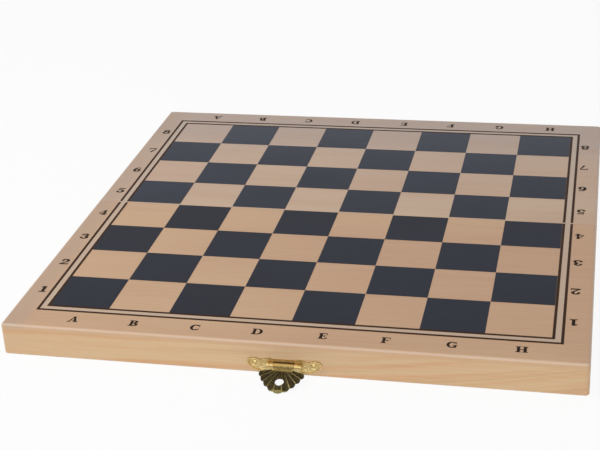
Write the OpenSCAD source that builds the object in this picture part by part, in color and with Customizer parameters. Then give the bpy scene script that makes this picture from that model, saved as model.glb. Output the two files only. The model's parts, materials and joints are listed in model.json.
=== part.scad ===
// Folding chess box, opened flat with the printed board on top.
// Two shallow wooden trays share a pair of brass hinges. Shut, they make one flat box,
// and a shell shaped hasp on the near tray hooks over a stud on the far tray.
// X runs along the fold, Y from the near edge to the far edge, Z up from the rims.

/* [Box] */
// Width of the board, along the fold
board_width = 290; // [286:1:400]
// Depth of the opened board, from its near edge to its far edge
board_depth = 297; // [286:1:400]
// Depth of each tray, from its rim to the printed face
tray_depth = 17.3; // [16:0.1:40]
// Thickness of the printed plywood panel
panel_thickness = 3; // [2:0.5:5]
// Thickness of the rails under the panel
rail_thickness = 8; // [7:0.5:14]
// Radius of the upright corners
corner_radius = 2; // [1:0.1:5]
// Rounding of the printed face's outer edge
edge_rounding = 1.6; // [0.4:0.1:2.4]
// Chamfer around the outside of the rims
rim_ease = 0.5; // [0.2:0.1:0.8]
// Gap between the two trays along the fold, opened flat
fold_gap = 0.6; // [0.4:0.1:1.2]
// Rounding of the printed face's edge along the fold
fold_ease = 0.5; // [0.2:0.1:1]
// Gap left between the rims when the box is shut
shut_gap = 0.2; // [0.1:0.05:0.6]

/* [Print] */
// Side of one square of the board
square_side = 31.6; // [24:0.1:36]
// Width of the printed line around the squares
inner_line = 1.4; // [0.6:0.1:2]
// Distance from the squares to the outer printed line
outer_line_start = 4.3; // [3:0.1:6]
// Width of the outer printed line
outer_line = 1.4; // [0.6:0.1:2]
// Thickness of the ink
ink = 0.1; // [0.05:0.01:0.2]
// Bare seam between neighbouring inked shapes
ink_seam = 0.1; // [0.05:0.01:0.3]

/* [Hinges] */
// Distance between the middles of the two hinges
hinge_spread = 170; // [80:1:180]
// Length of each hinge along the fold
hinge_length = 20; // [16:0.5:30]
// Width of each leaf, from the pin's axis to its free edge
leaf_reach = 6.4; // [5.8:0.1:6.8]
// Thickness of the hinge's sheet brass
leaf_sheet = 0.5; // [0.4:0.05:0.6]
// Diameter of the hinge pin
hinge_pin_d = 1; // [0.8:0.05:1.2]
// Diameter of the head of a hinge screw
screw_head_d = 2.6; // [2.2:0.1:3]
// Diameter of the shank of a hinge screw
screw_shank_d = 1.4; // [1:0.1:1.6]
// Length of a hinge screw
screw_length = 6; // [4:0.5:8]

/* [Clasp] */
// Middle of the clasp, left or right of the middle of the front
clasp_x = 0.5; // [-40:0.5:40]
// Height of the hasp's pin over the rims
clasp_pin_height = 5.6; // [5:0.1:7]
// Distance of the hasp's pin from the wood
clasp_pin_out = 1.6; // [1.5:0.1:2.4]
// Diameter of the hasp's pin
clasp_pin_d = 1.2; // [1:0.1:1.4]
// Outer diameter of the clasp's knuckles
clasp_knuckle_d = 2.4; // [2.2:0.1:2.8]
// Length of the hasp's own knuckle
hasp_knuckle = 10; // [8:0.2:12]
// Length of each knuckle on the clasp plate
plate_knuckle = 2.8; // [2:0.2:4]
// Width of the clasp plate from tip to tip
plate_width = 37; // [34:0.5:42]
// Height of the clasp plate above the pin
plate_rise = 3.1; // [2.6:0.1:4]
// Height of the clasp plate below the pin
plate_drop = 4.4; // [3.6:0.1:4.6]
// Thickness of the clasp's sheet brass
clasp_sheet = 0.5; // [0.4:0.05:0.7]
// Height of the border pressed into the clasp and catch plates
emboss = 0.25; // [0.1:0.05:0.4]
// Width of that border
plate_border = 0.5; // [0.3:0.05:0.8]
// Distance of each nail from the middle of the clasp
nail_x = 14.5; // [13:0.1:15.5]
// Height of the nails over the hasp's pin
nail_rise = 0.8; // [0:0.1:1]
// Diameter of a nail's head
nail_head_d = 2; // [1.6:0.1:2.4]
// Diameter of a nail's shank
nail_shank_d = 0.9; // [0.7:0.05:1.1]
// Length of a nail
nail_length = 6; // [4:0.5:7]

/* [Hasp] */
// Distance from the pin to the tip of the finger tongue
hasp_length = 17; // [15:0.1:20]
// Radius of the shell, from its root to the shoulders
shell_radius = 12; // [9:0.1:13]
// Distance from the pin to the root of the shell
shell_root = 1.6; // [1.2:0.1:3]
// Number of lobes, the finger tongue among them
lobes = 9; // [7:2:11]
// Half of the angle over which the shell fans out
shell_half_angle = 75; // [60:1:78]
// Depth of the cuts between neighbouring lobes
lobe_cut = 0.9; // [0.4:0.1:1.4]
// Thickness of the shell's sheet brass
shell_sheet = 0.6; // [0.5:0.05:0.8]
// Height of the ridges between the lobes
shell_ridge = 0.35; // [0.1:0.05:0.5]
// Swell of the shell outwards
shell_dome = 0.5; // [0:0.1:0.8]
// Width of the neck between the pin and the shell
neck_width = 9.2; // [7:0.1:11]
// Thickness of the neck
neck_sheet = 0.9; // [0.8:0.05:1.1]
// Distance from the pin to the middle of the hasp's eye
eye_drop = 10.6; // [9:0.1:11.5]
// Width of the finger tongue at the tip of the hasp
tongue_width = 6.4; // [5:0.1:8]
// Depth of the finger tongue
tongue_depth = 1.8; // [1.2:0.1:2.4]
// Height of the finger tongue over the shell
tongue_lip = 0.5; // [0.2:0.05:0.8]
// Diameter of the hasp's eye
eye_d = 4.4; // [4:0.1:5]

/* [Catch] */
// Diameter of the stud's knob, which the eye goes over
stud_knob_d = 3.3; // [2.4:0.1:3.6]
// Distance that the stud stands out of its plate
stud_out = 2.4; // [1.8:0.1:3]
// Diameter of the stud's neck
stud_neck_d = 2; // [1.4:0.1:2.2]
// Width of the catch plate
catch_width = 20; // [16:0.5:26]
// Height of the catch plate
catch_height = 8; // [6:0.5:8.4]
// Distance of each nail from the middle of the catch plate
catch_nail_x = 6.8; // [5.5:0.1:9]

/* [Fits] */
// Radial running clearance of both pins in their knuckles
pin_clearance = 0.05; // [0.02:0.01:0.08]
// Clearance of nails and screws in their holes
nail_clearance = 0.05; // [0.02:0.01:0.1]
// Gap at the ends of the knuckles
knuckle_gap = 0.15; // [0.1:0.05:0.3]
// Clearance of the knuckles in their notches
notch_clearance = 0.35; // [0.2:0.05:0.6]
// Clearance around the leaves in their seats
seat_clearance = 0.1; // [0.05:0.05:0.2]
// Clearance under the tip of the hasp where it leans on the table
tip_clearance = 0.02; // [0:0.01:0.1]

/* [Hidden] */

// Forms of one piece run this far into each other, and cutters this far out of the piece
weld = 0.2;
cut_over = 0.01;

// Box
half_width = board_width / 2;
half_depth = board_depth / 2;
inner_x = half_width - rail_thickness;
inner_y = half_depth - rail_thickness;
fold = fold_gap / 2;
rail_height = tray_depth - panel_thickness;
hinge_z = -shut_gap / 2;
wood = "burlywood";
veneer = "tan";
brass = "goldenrod";
antique = "darkolivegreen";

// Print
files = 8;
ranks = 8;
board_half = files * square_side / 2;

// Hinges
hinge_knuckles = 5;
knuckle_pitch = hinge_length / hinge_knuckles;
hinge_bore_d = hinge_pin_d + 2 * pin_clearance;
knuckle_thinning = 0.05;
hinge_knuckle_d = hinge_bore_d + 2 * (leaf_sheet - knuckle_thinning);
pin_head = 0.3;
pin_head_d = hinge_pin_d + 2 * pin_head;
screw_hole_d = screw_shank_d + 2 * nail_clearance;
screw_x = hinge_length / 4;
screw_y = (leaf_reach + hinge_knuckle_d / 2 + knuckle_gap) / 2;
screw_point = 0.35;
drive_slot = 0.4;

// Clasp
clasp_bore_d = clasp_pin_d + 2 * pin_clearance;
hasp_knuckle_half = hasp_knuckle / 2;
plate_knuckle_start = hasp_knuckle_half + knuckle_gap;
plate_knuckle_end = plate_knuckle_start + plate_knuckle;
nail_hole_d = nail_shank_d + 2 * nail_clearance;
nail_head = 0.3 * nail_head_d;
nail_point = 0.2;
nail_ring = 0.5;
nail_ring_gap = 0.3;
pin_cap = 0.4;

// Arcs of the clasp plate's outline: its tips, the bellies and foot below, the dips and humps above
plate_tip_r = 2.2;
plate_tip_drop = 0.3;
plate_belly_r = 3.3;
plate_belly = 0.86 * plate_drop;
plate_belly_in = 3;
plate_foot_r = 3.4;
plate_foot_out = 1;
plate_dip_r = 3;
plate_dip_over = 2;
plate_hump_r = 1.3;
plate_hump_in = 0.6;
plate_middle_drop = 0.5;

// The hasp leans out until the back of its tip meets the table.
tip_back = shell_sheet / 2;
hasp_lean = atan(tip_back / hasp_length)
    + acos((clasp_pin_height - tip_clearance) / norm([hasp_length, tip_back]));
lobe_angle = 2 * shell_half_angle / lobes;
shell_columns = 6 * lobes;
shell_rings = 5;
shell_start = 1.2;
neck_overlap = 1.4;
tongue_spread = 32;
tongue_hollow = 0.3;

// The stud lies in the eye when the far tray is folded under the near one.
catch_z = eye_drop - clasp_pin_height + 2 * hinge_z;
stud_foot = 0.4;
stud_foot_d = stud_knob_d + 2 * stud_foot;
catch_leaf_r = 2;
catch_tip_r = 0.8;
catch_fillet = 0.6;

// The origin is the middle of the ground that the opened box covers with its fittings.
hasp_out = clasp_pin_out + hasp_length * sin(hasp_lean);
catch_out = clasp_sheet + stud_foot + stud_out;
fold_y = (hasp_out - catch_out) / 2;

$fn = 48;

// Moves the box from its fold to its origin.
module on_the_table() {
    translate([0, fold_y, 0]) children();
}

// One upright corner of the board: eased at the rim and rounded at the printed face.
module corner_post() {
    steps = 6;
    top_arc = [for (i = [0 : steps])
        [corner_radius - edge_rounding * (1 - cos(90 * i / steps)),
         tray_depth - edge_rounding * (1 - sin(90 * i / steps))]];
    rotate_extrude($fn = 32)
        polygon(concat([[0, 0], [corner_radius - rim_ease, 0], [corner_radius, rim_ease]],
                       top_arc, [[0, tray_depth]]));
}

// The outside of the whole opened board.
module board_outside() {
    inset_x = half_width - corner_radius;
    inset_y = half_depth - corner_radius;
    hull()
        for (x = [-inset_x, inset_x], y = [-inset_y, inset_y])
            translate([x, y, 0]) corner_post();
}

// The length of wood taken off the printed edge along the fold, in section.
module fold_easing() {
    translate([-half_width, -fold, tray_depth])
        rotate([90, 0, 90])
            linear_extrude(board_width)
                difference() {
                    translate([-fold_ease, -fold_ease]) square(2 * fold_ease);
                    translate([-fold_ease, -fold_ease]) circle(fold_ease);
                }
}

// A printed panel over a whole tray, on the near side.
module panel() {
    difference() {
        intersection() {
            board_outside();
            translate([-half_width, -half_depth, rail_height])
                cube([board_width, half_depth - fold, panel_thickness]);
        }
        fold_easing();
    }
}

// Plan of the rail along the outer edge, mitred at both ends.
module outer_rail_plan() {
    polygon([[-half_width, -half_depth], [half_width, -half_depth],
             [inner_x, -inner_y], [-inner_x, -inner_y]]);
}

// Plan of the rail on the right, mitred at both ends.
module right_rail_plan() {
    polygon([[half_width, -half_depth], [half_width, -fold],
             [inner_x, -fold - rail_thickness], [inner_x, -inner_y]]);
}

// Plan of the rail along the fold, mitred at both ends.
module hinge_rail_plan() {
    polygon([[half_width, -fold], [-half_width, -fold],
             [-inner_x, -fold - rail_thickness], [inner_x, -fold - rail_thickness]]);
}

// A rail with the given plan, with the outside shape of the board.
module rail() {
    intersection() {
        board_outside();
        linear_extrude(rail_height) children();
    }
}

// Seats of the hinges in a rail along the fold: leaf seat, knuckle notch and screw holes.
module hinge_seats() {
    notch = hinge_knuckle_d / 2 + notch_clearance;
    for (x = [-hinge_spread / 2, hinge_spread / 2])
        translate([x, 0, 0]) {
            translate([-hinge_length / 2 - seat_clearance, -leaf_reach - seat_clearance, -1])
                cube([hinge_length + 2 * seat_clearance, leaf_reach + seat_clearance, 1 + leaf_sheet]);
            translate([-hinge_length / 2 - pin_head - notch_clearance, -notch, -1])
                cube([hinge_length + 2 * (pin_head + notch_clearance), notch, 1 + hinge_z + notch]);
            for (side = [-screw_x, screw_x])
                translate([side, -screw_y, 0]) cylinder(d = screw_hole_d, h = screw_length);
        }
}

// A rail along the fold, on the near side.
module hinge_rail() {
    difference() {
        rail() hinge_rail_plan();
        hinge_seats();
    }
}

// Puts what is modelled on the near side on the far side.
module far_side() {
    mirror([0, 1, 0]) children();
}

// The inked squares and lines of the ranks from first to last.
module board_print(first, last) {
    eased = fold + fold_ease;
    inked = square_side - ink_seam;
    lines = [[ink_seam / 2, inner_line], [outer_line_start, outer_line]];
    low = (first == 0) ? -half_depth : eased;
    translate([0, 0, tray_depth]) linear_extrude(ink) {
        for (file = [0 : files - 1], rank = [first : last])
            if ((file + rank) % 2 == 0)
                intersection() {
                    translate([file * square_side - board_half + ink_seam / 2,
                               rank * square_side - board_half + ink_seam / 2])
                        square(inked);
                    translate([-half_width, low]) square([board_width, half_depth - eased]);
                }
        for (line = lines)
            intersection() {
                difference() {
                    square(2 * (board_half + line[0] + line[1]), center = true);
                    square(2 * (board_half + line[0]), center = true);
                }
                translate([-half_width, low]) square([board_width, half_depth - eased]);
            }
    }
}

// Leaf of a hinge on the near side, with every second knuckle counted from the first.
module hinge_leaf(first) {
    radius = hinge_knuckle_d / 2;
    clear = radius + knuckle_gap;
    difference() {
        union() {
            translate([-hinge_length / 2, -leaf_reach, 0])
                cube([hinge_length, leaf_reach - clear, leaf_sheet]);
            for (k = [first : 2 : hinge_knuckles - 1]) {
                start = -hinge_length / 2 + k * knuckle_pitch + (k > 0 ? knuckle_gap / 2 : 0);
                end = -hinge_length / 2 + (k + 1) * knuckle_pitch
                    - (k < hinge_knuckles - 1 ? knuckle_gap / 2 : 0);
                translate([start, -clear - weld, 0]) cube([end - start, clear + weld, leaf_sheet]);
                translate([start, 0, hinge_z]) rotate([0, 90, 0])
                    cylinder(r = radius, h = end - start);
            }
        }
        translate([-hinge_length, 0, hinge_z]) rotate([0, 90, 0])
            cylinder(d = hinge_bore_d, h = 2 * hinge_length);
        for (side = [-screw_x, screw_x])
            translate([side, -screw_y, 0]) screw_sink();
    }
}

// Countersunk hole through a leaf, open downwards.
module screw_sink() {
    clearance = 2 * nail_clearance;
    translate([0, 0, -cut_over])
        cylinder(d1 = screw_head_d + clearance, d2 = screw_head_d - 2 * leaf_sheet + clearance,
                 h = leaf_sheet + 2 * cut_over);
}

// Countersunk screw, its slotted head flush with the leaf and facing down.
module screw() {
    difference() {
        union() {
            cylinder(d1 = screw_head_d, d2 = screw_head_d - 2 * leaf_sheet, h = leaf_sheet);
            cylinder(d = screw_shank_d, h = screw_length - screw_shank_d);
            translate([0, 0, screw_length - screw_shank_d])
                cylinder(d1 = screw_shank_d, d2 = screw_point, h = screw_shank_d - weld);
        }
        translate([-screw_head_d, -drive_slot / 2, -cut_over])
            cube([2 * screw_head_d, drive_slot, leaf_sheet / 2]);
    }
}

// All the hinge screws of one tray, on the near side.
module hinge_screws() {
    for (x = [-hinge_spread / 2, hinge_spread / 2], side = [-screw_x, screw_x])
        translate([x + side, -screw_y, 0]) screw();
}

// Hinge pin, with a small head at each end.
module hinge_pin() {
    translate([0, 0, hinge_z]) rotate([0, 90, 0]) {
        cylinder(d = hinge_pin_d, h = hinge_length + 2 * pin_head, center = true);
        for (end = [0, 180])
            rotate([end, 0, 0]) translate([0, 0, hinge_length / 2 + pin_clearance])
                cylinder(d1 = pin_head_d, d2 = hinge_pin_d, h = pin_head);
    }
}

// Places the clasp's pieces on the front, at the height of the pin: X along it, Y into the wood.
module at_clasp() {
    translate([clasp_x, -half_depth, clasp_pin_height]) children();
}

// Lays a flat outline on the front of the wood, with the given thickness, above a given height.
module pressed(from, thickness) {
    translate([0, -from, 0]) rotate([90, 0, 0]) linear_extrude(thickness) children();
}

// Points along an arc around [x, z], between two angles.
function arc(x, z, radius, from, to, steps = 8) =
    [for (i = [0 : steps])
        let (angle = from + (to - from) * i / steps)
        [x + radius * cos(angle), z + radius * sin(angle)]];

// Outline of the clasp plate: a butterfly, its wings dipped between knuckle and tip.
module clasp_plate_outline() {
    tip = plate_width / 2 - plate_tip_r;
    hump = plate_knuckle_end - plate_hump_in;
    dip = (tip + hump) / 2;
    middle = plate_rise - plate_middle_drop;
    wing = concat(
        [[0, -plate_drop]],
        arc(hump + plate_foot_out, plate_foot_r - plate_drop, plate_foot_r, -100, -85, 3),
        arc(tip - plate_belly_in, plate_belly_r - plate_belly, plate_belly_r, -95, -45),
        arc(tip, plate_rise - plate_tip_r - plate_tip_drop, plate_tip_r, -40, 100),
        arc(dip, plate_rise + plate_dip_over, plate_dip_r, -50, -130),
        arc(hump, plate_rise - plate_hump_r, plate_hump_r, 60, 120, 4),
        [[hump - plate_hump_r, middle], [0, middle]]);
    for (side = [0, 1]) mirror([side, 0]) polygon(wing);
}

// Window in the clasp plate, in which the hasp's knuckle turns.
module clasp_window() {
    square([hasp_knuckle + 2 * knuckle_gap, clasp_knuckle_d + 2 * notch_clearance], center = true);
}

// Clasp plate, with a raised border, rings round the nails and a knuckle on each side.
module clasp_plate() {
    nail_ring_r = nail_head_d / 2 + nail_ring_gap;
    color(brass) on_the_table() at_clasp() difference() {
        union() {
            difference() {
                pressed(0, clasp_sheet + emboss) clasp_plate_outline();
                pressed(clasp_sheet, 1) offset(delta = -plate_border) clasp_plate_outline();
            }
            for (side = [-1, 1]) {
                translate([side * nail_x, 0, nail_rise]) rotate([90, 0, 0])
                    cylinder(r = nail_ring_r + nail_ring, h = clasp_sheet + emboss);
                translate([side > 0 ? plate_knuckle_start : -plate_knuckle_end,
                           -clasp_pin_out, 0])
                    rotate([0, 90, 0]) cylinder(d = clasp_knuckle_d, h = plate_knuckle);
                translate([side * (plate_knuckle_start + plate_knuckle_end) / 2 - plate_knuckle / 2,
                           -clasp_pin_out, -clasp_knuckle_d / 4])
                    cube([plate_knuckle, clasp_pin_out - clasp_sheet / 2, clasp_knuckle_d / 2]);
            }
        }
        pressed(-1, clasp_pin_out) clasp_window();
        translate([-plate_width / 2, -clasp_pin_out, 0]) rotate([0, 90, 0])
            cylinder(d = clasp_bore_d, h = plate_width);
        for (side = [-1, 1]) translate([side * nail_x, 0, nail_rise]) {
            translate([0, 1, 0]) rotate([90, 0, 0]) cylinder(d = nail_hole_d, h = 4);
            translate([0, -clasp_sheet, 0]) rotate([90, 0, 0])
                cylinder(r = nail_ring_r, h = clasp_sheet);
        }
    }
}

// Round headed nail, driven along +Y, its head seated at the given height over the wood.
module nail(seat) {
    translate([0, -seat, 0]) rotate([-90, 0, 0]) {
        cylinder(d = nail_shank_d, h = nail_length - nail_shank_d);
        translate([0, 0, nail_length - nail_shank_d])
            cylinder(d1 = nail_shank_d, d2 = nail_point, h = nail_shank_d);
        rotate_extrude() intersection() {
            scale([1, nail_head / (nail_head_d / 2)]) circle(d = nail_head_d);
            translate([0, -nail_head]) square([nail_head_d, nail_head]);
        }
    }
}

// Hole for a nail in the outer face of a tray.
module nail_hole(depth) {
    translate([0, -1, 0]) rotate([-90, 0, 0]) cylinder(d = nail_hole_d, h = depth + 1);
}

// Pin of the hasp.
module clasp_pin() {
    color(brass) on_the_table() at_clasp() translate([0, -clasp_pin_out, 0]) rotate([0, 90, 0]) {
        cylinder(d = clasp_pin_d, h = 2 * (plate_knuckle_end + pin_clearance + weld), center = true);
        for (end = [0, 180])
            rotate([end, 0, 0]) translate([0, 0, plate_knuckle_end + pin_clearance])
                rotate_extrude() intersection() {
                    circle(clasp_pin_d / 2 + pin_cap);
                    square(clasp_pin_d);
                }
    }
}

// Distance of the shell's edge from its root at an angle from the middle of the tongue.
function shell_edge(angle) =
    shell_radius + (hasp_length - shell_root - shell_radius) * exp(-pow(angle / tongue_spread, 2))
    - lobe_cut * (1 - abs(cos(180 * angle / lobe_angle)));

// Height of the ridges, sharp where two lobes meet.
function shell_relief(angle, way) =
    shell_ridge * pow(1 - abs(cos(180 * angle / lobe_angle)), 2) * min(1, 4 * way);

// Swell of the shell, none at its root, its edge and its shoulders.
function shell_swell(angle, way) =
    shell_dome * 4 * way * (1 - way) * (1 - pow(angle / shell_half_angle, 2));

// A point of the shell: way runs from its root to its edge, and face is 1 in front, -1 behind.
function shell_point(angle, way, face) =
    let (reach = shell_start + (shell_edge(angle) - shell_start) * way)
    [reach * sin(angle),
     -shell_swell(angle, way) - face * shell_sheet / 2
         - (face > 0 ? shell_relief(angle, way) : 0),
     -shell_root - reach * cos(angle)];

// The fluted shell, its front towards -Y, hanging from the pin.
module shell() {
    columns = shell_columns;
    rings = shell_rings;
    layer = (columns + 1) * (rings + 1);
    points = [for (face = [1, -1], c = [0 : columns], r = [0 : rings])
        shell_point(-shell_half_angle + 2 * shell_half_angle * c / columns, r / rings, face)];
    function at(face, c, r) = face * layer + c * (rings + 1) + r;
    function quad(a, b, c, d) = [[a, c, b], [a, d, c]];
    faces = concat(
        [for (c = [0 : columns - 1], r = [0 : rings - 1])
            each quad(at(0, c, r), at(0, c, r + 1), at(0, c + 1, r + 1), at(0, c + 1, r))],
        [for (c = [0 : columns - 1], r = [0 : rings - 1])
            each quad(at(1, c, r), at(1, c + 1, r), at(1, c + 1, r + 1), at(1, c, r + 1))],
        [for (c = [0 : columns - 1])
            each quad(at(0, c, 0), at(0, c + 1, 0), at(1, c + 1, 0), at(1, c, 0))],
        [for (c = [0 : columns - 1])
            each quad(at(0, c, rings), at(1, c, rings), at(1, c + 1, rings), at(0, c + 1, rings))],
        [for (r = [0 : rings - 1])
            each quad(at(0, 0, r), at(1, 0, r), at(1, 0, r + 1), at(0, 0, r + 1))],
        [for (r = [0 : rings - 1])
            each quad(at(0, columns, r), at(0, columns, r + 1),
                      at(1, columns, r + 1), at(1, columns, r))]);
    polyhedron(points, faces);
}

// Raised crescent at the tip of the shell, to lift it by.
module finger_tongue() {
    radius = tongue_width / 2;
    translate([0, shell_sheet / 2, 0]) rotate([90, 0, 0])
        linear_extrude(shell_sheet + tongue_lip) difference() {
            translate([0, radius - hasp_length]) circle(radius);
            translate([0, radius - hasp_length + tongue_depth]) circle(radius + tongue_hollow);
        }
}

// The hasp, hanging from its pin: knuckle, neck, shell and finger tongue, with its eye.
module hanging_hasp() {
    neck_length = shell_root + shell_start + neck_overlap;
    difference() {
        union() {
            rotate([0, 90, 0]) cylinder(d = clasp_knuckle_d, h = hasp_knuckle, center = true);
            translate([-neck_width / 2, -neck_sheet / 2, -neck_length])
                cube([neck_width, neck_sheet, neck_length]);
            shell();
            finger_tongue();
        }
        rotate([0, 90, 0]) cylinder(d = clasp_bore_d, h = 2 * hasp_knuckle, center = true);
        translate([0, 0, -eye_drop]) rotate([90, 0, 0])
            cylinder(d = eye_d, h = hasp_length, center = true);
    }
}

// The hasp as it rests, leaning out on the table.
module clasp_hasp() {
    color(antique) on_the_table() at_clasp()
        translate([0, -clasp_pin_out, 0]) rotate([-hasp_lean, 0, 0]) hanging_hasp();
}

// Places the catch's pieces on the far tray: Y into the wood, Z up.
module at_catch() {
    far_side() translate([clasp_x, -half_depth, catch_z]) children();
}

// Outline of the catch plate: a round middle between two small leaves.
module catch_outline() {
    offset(r = -catch_fillet, $fn = 12) offset(delta = catch_fillet) {
        circle(d = catch_height, $fn = 32);
        for (side = [-1, 1]) hull($fn = 20) {
            translate([side * catch_nail_x, 0]) circle(catch_leaf_r);
            translate([side * (catch_width / 2 - catch_tip_r), 0]) circle(catch_tip_r);
        }
    }
}

// Catch plate, with a raised border and holes for the stud and two nails.
module catch_plate() {
    color(brass) on_the_table() at_catch() difference() {
        pressed(0, clasp_sheet + emboss) catch_outline();
        pressed(clasp_sheet, 1) offset(delta = -plate_border) catch_outline();
        translate([0, 1, 0]) rotate([90, 0, 0])
            cylinder(d = stud_neck_d + 2 * nail_clearance, h = 4);
        for (side = [-1, 1]) translate([side * catch_nail_x, 1, 0]) rotate([90, 0, 0])
            cylinder(d = nail_hole_d, h = 4);
    }
}

// Stud of the catch: a foot on the plate, a neck and a round knob, with its shank in the wood.
module catch_stud() {
    knob = stud_knob_d / 2;
    foot = clasp_sheet + stud_foot;
    color(brass) on_the_table() at_catch() rotate([90, 0, 0]) {
        translate([0, 0, -nail_length])
            cylinder(d = stud_neck_d, h = nail_length + foot + stud_out - knob);
        translate([0, 0, clasp_sheet])
            cylinder(d1 = stud_foot_d, d2 = stud_neck_d + stud_foot, h = stud_foot);
        translate([0, 0, foot + stud_out - knob]) rotate_extrude() intersection() {
            circle(knob);
            translate([0, -knob * 0.7]) square([knob, 2 * knob]);
        }
    }
}

// The two hinges' middles.
module at_hinge(side) {
    translate([side * hinge_spread / 2, 0, 0]) children();
}

module near_panel() {
    color(veneer) on_the_table() panel();
}

module near_print() {
    color("dimgray") on_the_table() board_print(0, ranks / 2 - 1);
}

module near_front_rail() {
    color(wood) on_the_table() difference() {
        rail() outer_rail_plan();
        at_clasp() for (side = [-1, 1]) translate([side * nail_x, 0, nail_rise])
            nail_hole(nail_length);
    }
}

module near_left_rail() {
    color(wood) on_the_table() rail() mirror([1, 0, 0]) right_rail_plan();
}

module near_right_rail() {
    color(wood) on_the_table() rail() right_rail_plan();
}

module near_hinge_rail() {
    color(wood) on_the_table() hinge_rail();
}

module far_panel() {
    color(veneer) on_the_table() far_side() panel();
}

module far_print() {
    color("dimgray") on_the_table() board_print(ranks / 2, ranks - 1);
}

module far_outer_rail() {
    color(wood) on_the_table() difference() {
        far_side() rail() outer_rail_plan();
        at_catch() {
            for (side = [-1, 1]) translate([side * catch_nail_x, 0, 0]) nail_hole(nail_length);
            translate([0, -1, 0]) rotate([-90, 0, 0])
                cylinder(d = stud_neck_d + 2 * nail_clearance, h = nail_length + 1 + weld);
        }
    }
}

module far_left_rail() {
    color(wood) on_the_table() far_side() rail() mirror([1, 0, 0]) right_rail_plan();
}

module far_right_rail() {
    color(wood) on_the_table() far_side() rail() right_rail_plan();
}

module far_hinge_rail() {
    color(wood) on_the_table() far_side() hinge_rail();
}

module left_hinge_near_leaf() {
    color(brass) on_the_table() at_hinge(-1) hinge_leaf(0);
}

module left_hinge_far_leaf() {
    color(brass) on_the_table() at_hinge(-1) far_side() hinge_leaf(1);
}

module left_hinge_pin() {
    color(brass) on_the_table() at_hinge(-1) hinge_pin();
}

module right_hinge_near_leaf() {
    color(brass) on_the_table() at_hinge(1) hinge_leaf(0);
}

module right_hinge_far_leaf() {
    color(brass) on_the_table() at_hinge(1) far_side() hinge_leaf(1);
}

module right_hinge_pin() {
    color(brass) on_the_table() at_hinge(1) hinge_pin();
}

module near_hinge_screws() {
    color(brass) on_the_table() hinge_screws();
}

module far_hinge_screws() {
    color(brass) on_the_table() far_side() hinge_screws();
}

module clasp_nails() {
    color(brass) on_the_table() at_clasp()
        for (side = [-1, 1]) translate([side * nail_x, 0, nail_rise]) nail(clasp_sheet);
}

module catch_nails() {
    color(brass) on_the_table() at_catch()
        for (side = [-1, 1]) translate([side * catch_nail_x, 0, 0]) nail(clasp_sheet);
}

near_panel();
near_print();
near_front_rail();
near_left_rail();
near_right_rail();
near_hinge_rail();
far_panel();
far_print();
far_outer_rail();
far_left_rail();
far_right_rail();
far_hinge_rail();
left_hinge_near_leaf();
left_hinge_far_leaf();
left_hinge_pin();
right_hinge_near_leaf();
right_hinge_far_leaf();
right_hinge_pin();
near_hinge_screws();
far_hinge_screws();
clasp_plate();
clasp_nails();
clasp_pin();
clasp_hasp();
catch_plate();
catch_stud();
catch_nails();
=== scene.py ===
import json
import math

import bmesh
import bpy
from mathutils import Matrix, Vector
from mathutils.geometry import delaunay_2d_cdt


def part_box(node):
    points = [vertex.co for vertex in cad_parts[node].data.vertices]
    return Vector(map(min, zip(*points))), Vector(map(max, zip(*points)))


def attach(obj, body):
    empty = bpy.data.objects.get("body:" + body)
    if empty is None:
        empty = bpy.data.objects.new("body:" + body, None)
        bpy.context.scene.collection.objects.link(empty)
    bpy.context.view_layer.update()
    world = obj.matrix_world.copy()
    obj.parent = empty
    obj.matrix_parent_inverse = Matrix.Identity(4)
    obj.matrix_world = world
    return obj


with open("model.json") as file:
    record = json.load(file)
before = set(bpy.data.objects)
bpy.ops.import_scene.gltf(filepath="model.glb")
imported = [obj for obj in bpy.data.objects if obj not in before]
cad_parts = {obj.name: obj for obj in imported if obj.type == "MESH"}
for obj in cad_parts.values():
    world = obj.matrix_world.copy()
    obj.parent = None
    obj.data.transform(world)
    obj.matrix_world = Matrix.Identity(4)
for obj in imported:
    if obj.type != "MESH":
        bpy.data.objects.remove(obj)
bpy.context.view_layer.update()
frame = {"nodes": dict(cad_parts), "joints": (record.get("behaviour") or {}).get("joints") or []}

# A wooden chess box, opened flat: printed veneer board, pale rails, brass clasp and hinges.
# Lengths are in metres, and MM writes the small ones. The shell's sizes, the drawings on the
# clasp and the distances past the fold are in millimetres. The main places are read from the
# frame. The reach of the printed lines and the sizes of the clasp repeat the part's own.
MM = 0.001

nodes = frame["nodes"]
scene = bpy.context.scene
joints = {joint["name"]: joint for joint in frame["joints"]}


# The board's own places

near_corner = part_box("near_panel")[0]
far_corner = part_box("far_panel")[1]
FOLD_Y = (near_corner.y + far_corner.y) / 2
BOARD_TOP = far_corner.z

OUTER_LINE_REACH = 5.7 * MM
SQUARES_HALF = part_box("near_print")[1].x - OUTER_LINE_REACH
SQUARE = SQUARES_HALF / 4

HASP_PIN = Vector(joints["hasp_swing"]["pos_m"])
HASP_LEAN = math.radians(-joints["hasp_swing"]["range_deg"][0])
CLASP_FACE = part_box("near_front_rail")[0].y
CLASP_X = HASP_PIN.x


# The hasp's shell, in millimetres and degrees. Its root and its eye are measured from the pin,
# and its start, radius and tip from the root.

SHELL_LOBES = 9
SHELL_HALF_ANGLE = 75
SHELL_LOBE = 2 * SHELL_HALF_ANGLE / SHELL_LOBES
SHELL_ROOT = 1.6
SHELL_START = 1.2
SHELL_RADIUS = 12
SHELL_TIP = 15.4
SHELL_TIP_SPREAD = 32
SHELL_CUT = 0.9
SHELL_DOME = 0.5
SHELL_RIDGE = 0.35
SHELL_HALF_SHEET = 0.3
EYE_DROP = 10.6
EYE_RADIUS = 2.2


# Materials

WHITE = (1, 1, 1, 1)


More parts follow.
